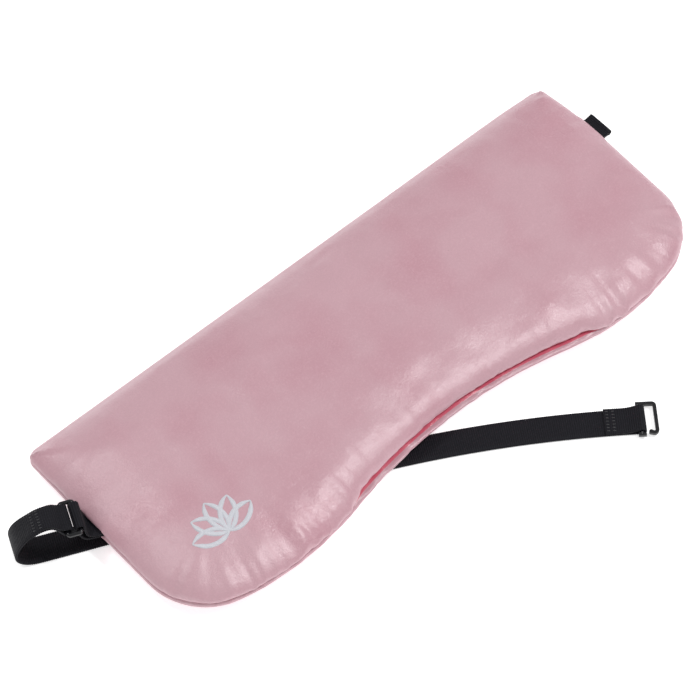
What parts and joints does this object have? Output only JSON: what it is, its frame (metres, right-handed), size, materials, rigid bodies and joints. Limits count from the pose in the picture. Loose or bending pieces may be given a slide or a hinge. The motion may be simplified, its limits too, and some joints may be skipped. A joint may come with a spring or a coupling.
{
  "type": "sleep eye mask",
  "caption": "Grain-filled satin sleep eye mask with a nose notch, an insert pouch and an elastic side strap that hooks to a tab.",
  "frame": {"origin": "centre of the flat back face that lies on the eyes or on a table", "axes": "+X along the length towards the tab that takes the hook, +Y towards the straight top edge, +Z out of the satin front"},
  "size_m": [0.2614, 0.1278, 0.0164],
  "materials": {
    "pink_satin": "satin weave with a soft sheen",
    "pink_thread": "spun polyester thread",
    "pouch_cotton": "plain cotton",
    "pouch_thread": "cotton thread",
    "flax_seed": "small glossy seeds",
    "white_embroidery": "rayon satin stitch",
    "backing_fleece": "non-woven sheet",
    "black_elastic": "ribbed plush elastic",
    "black_thread": "spun polyester thread",
    "black_coated_metal": "gloss nylon coating"
  },
  "bodies": {
    "mask": {"cover_front": "pink_satin", "cover_back": "pink_satin", "cover_seam_thread": "pink_thread", "pouch_front": "pouch_cotton", "pouch_back": "pouch_cotton", "pouch_seam_thread": "pouch_thread", "seed_filling": "flax_seed", "motif_embroidery": "white_embroidery", "motif_backing": "backing_fleece", "left_tab": "black_elastic", "right_tab": "black_elastic"},
    "ring": {"strap_ring": "black_coated_metal"},
    "strap": {"elastic_strap": "black_elastic", "ring_end_stitches": "black_thread", "hook_end_stitches": "black_thread"},
    "hook": {"g_hook": "black_coated_metal"}
  },
  "joints": [
    {"name": "ring_pivot", "type": "hinge", "parent": "mask", "child": "ring", "pos_m": [-0.11899, 0.0123, 0.0142], "axis": [0.4083, 0.9128, 0], "range_deg": [0, 60]},
    {"name": "strap_pivot", "type": "hinge", "parent": "ring", "child": "strap", "pos_m": [-0.12301, 0.0141, 0.0142], "axis": [0.4083, 0.9128, 0], "range_deg": [0, 90]},
    {"name": "hook_pivot", "type": "hinge", "parent": "strap", "child": "hook", "pos_m": [0.04709, -0.0754, 0.0016], "axis": [0.6157, 0.788, 0], "range_deg": [-60, 60]}
  ]
}
